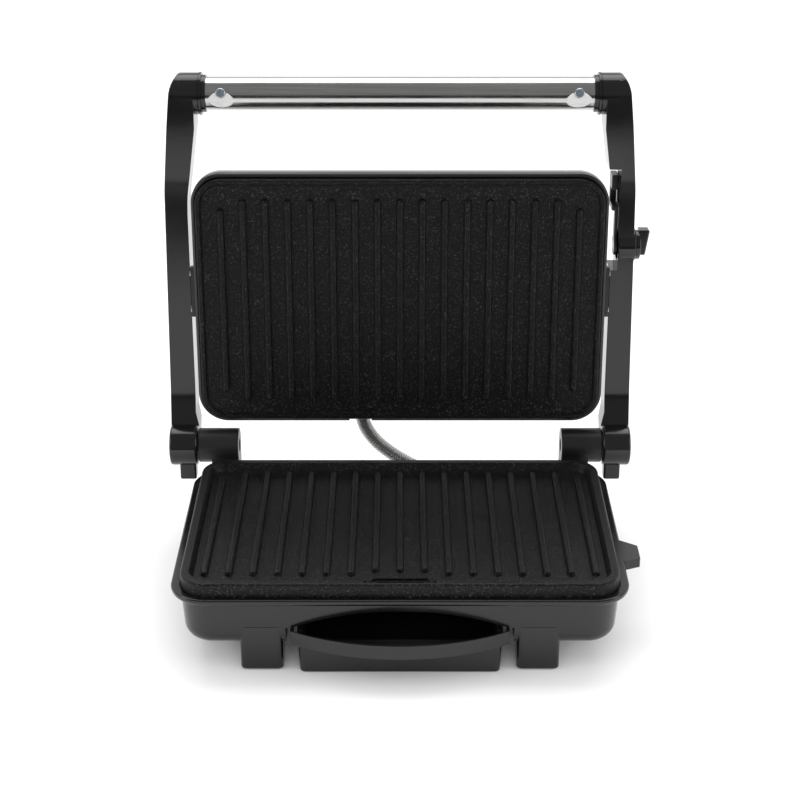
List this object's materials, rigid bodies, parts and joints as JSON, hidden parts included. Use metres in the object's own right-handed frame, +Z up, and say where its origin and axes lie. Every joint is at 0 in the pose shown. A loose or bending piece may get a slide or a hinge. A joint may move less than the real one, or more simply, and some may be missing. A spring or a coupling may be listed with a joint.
{
  "type": "panini press",
  "caption": "Open contact grill with two ribbed non-stick plates, a floating lid on arms with a tubular handle, a drip tray and a lid lock.",
  "frame": {"origin": "centre of the open press's footprint box, on the table; the mid-plane of the press lies 4.5 mm to the -X side of it, because the lock knob stands out on the +X side", "axes": "+X to the right seen from the front, +Y to the back where the hinge is, +Z up; the lid stands open as stored"},
  "size_m": [0.2822, 0.2262, 0.2723],
  "materials": {
    "gloss_black": "gloss black moulded plastic",
    "satin_black": "satin black moulded plastic",
    "nonstick": "die-cast aluminium with matte black non-stick coating",
    "stainless": "polished and brushed stainless steel",
    "zinc_steel": "bright zinc-plated steel",
    "sheet_tin": "plain tinned sheet",
    "element": "sheathed heating element",
    "rubber_black": "soft black rubber",
    "phenolic": "pale moulded insulator",
    "lens_red": "clear red lamp lens",
    "lens_green": "clear green lamp lens"
  },
  "bodies": {
    "base": {"base_housing": "gloss_black", "tray_bay": "satin_black", "lower_grill_plate": "nonstick", "lower_heating_element": "element", "lower_heat_shield": "sheet_tin", "lower_thermostat": "phenolic", "lower_plate_screws": "zinc_steel", "foot_pads": "rubber_black", "right_hinge_bracket": "satin_black", "left_hinge_bracket": "satin_black", "hinge_bracket_screws": "zinc_steel", "cord_inlet_gland": "rubber_black", "conduit_base_gland": "rubber_black", "terminal_block": "phenolic", "link_conduit": "stainless"},
    "tray": {"drip_tray": "satin_black"},
    "arms": {"left_arm": "gloss_black", "right_arm": "gloss_black", "handle_tube": "stainless", "right_handle_collar": "gloss_black", "left_handle_collar": "gloss_black", "handle_tube_screws": "zinc_steel", "right_hinge_pin": "zinc_steel", "left_hinge_pin": "zinc_steel"},
    "floats": {"right_float_block": "satin_black", "left_float_block": "satin_black"},
    "lid": {"lid_rim": "satin_black", "lid_steel_cover": "stainless", "upper_grill_plate": "nonstick", "upper_heating_element": "element", "upper_heat_shield": "sheet_tin", "upper_thermostat": "phenolic", "upper_plate_screws": "zinc_steel", "right_pivot_bracket": "satin_black", "left_pivot_bracket": "satin_black", "lid_pivot_pins": "zinc_steel", "pivot_bracket_screws": "zinc_steel", "conduit_lid_gland": "rubber_black", "lamp_bracket": "sheet_tin", "power_lamp_lens": "lens_red", "ready_lamp_lens": "lens_green"},
    "lock": {"lock_knob": "gloss_black", "lock_hook": "satin_black"}
  },
  "joints": [
    {"name": "arm_hinge", "type": "hinge", "parent": "base", "child": "arms", "pos_m": [-0.0039, 0.06668, 0.0535], "axis": [-1, 0, 0], "range_deg": [-93.2, 0], "deforming": ["link_conduit"]},
    {"name": "lid_float", "type": "slide", "parent": "arms", "child": "floats", "axis": [0, 0.9984, -0.0558], "range_m": [0, 0.006], "stiffness_N_per_m": 800, "springref_m": -0.006, "deforming": ["link_conduit"]},
    {"name": "lid_tilt", "type": "hinge", "parent": "floats", "child": "lid", "pos_m": [-0.0039, 0.0899, 0.14635], "axis": [1, 0, 0], "range_deg": [0, 15], "deforming": ["link_conduit"]},
    {"name": "lock_turn", "type": "hinge", "parent": "arms", "child": "lock", "pos_m": [0.13, 0.09082, 0.17184], "axis": [1, 0, 0], "range_deg": [0, 90]},
    {"name": "tray_slide", "type": "slide", "parent": "base", "child": "tray", "axis": [0, -1, 0], "range_m": [0, 0.105]}
  ]
}
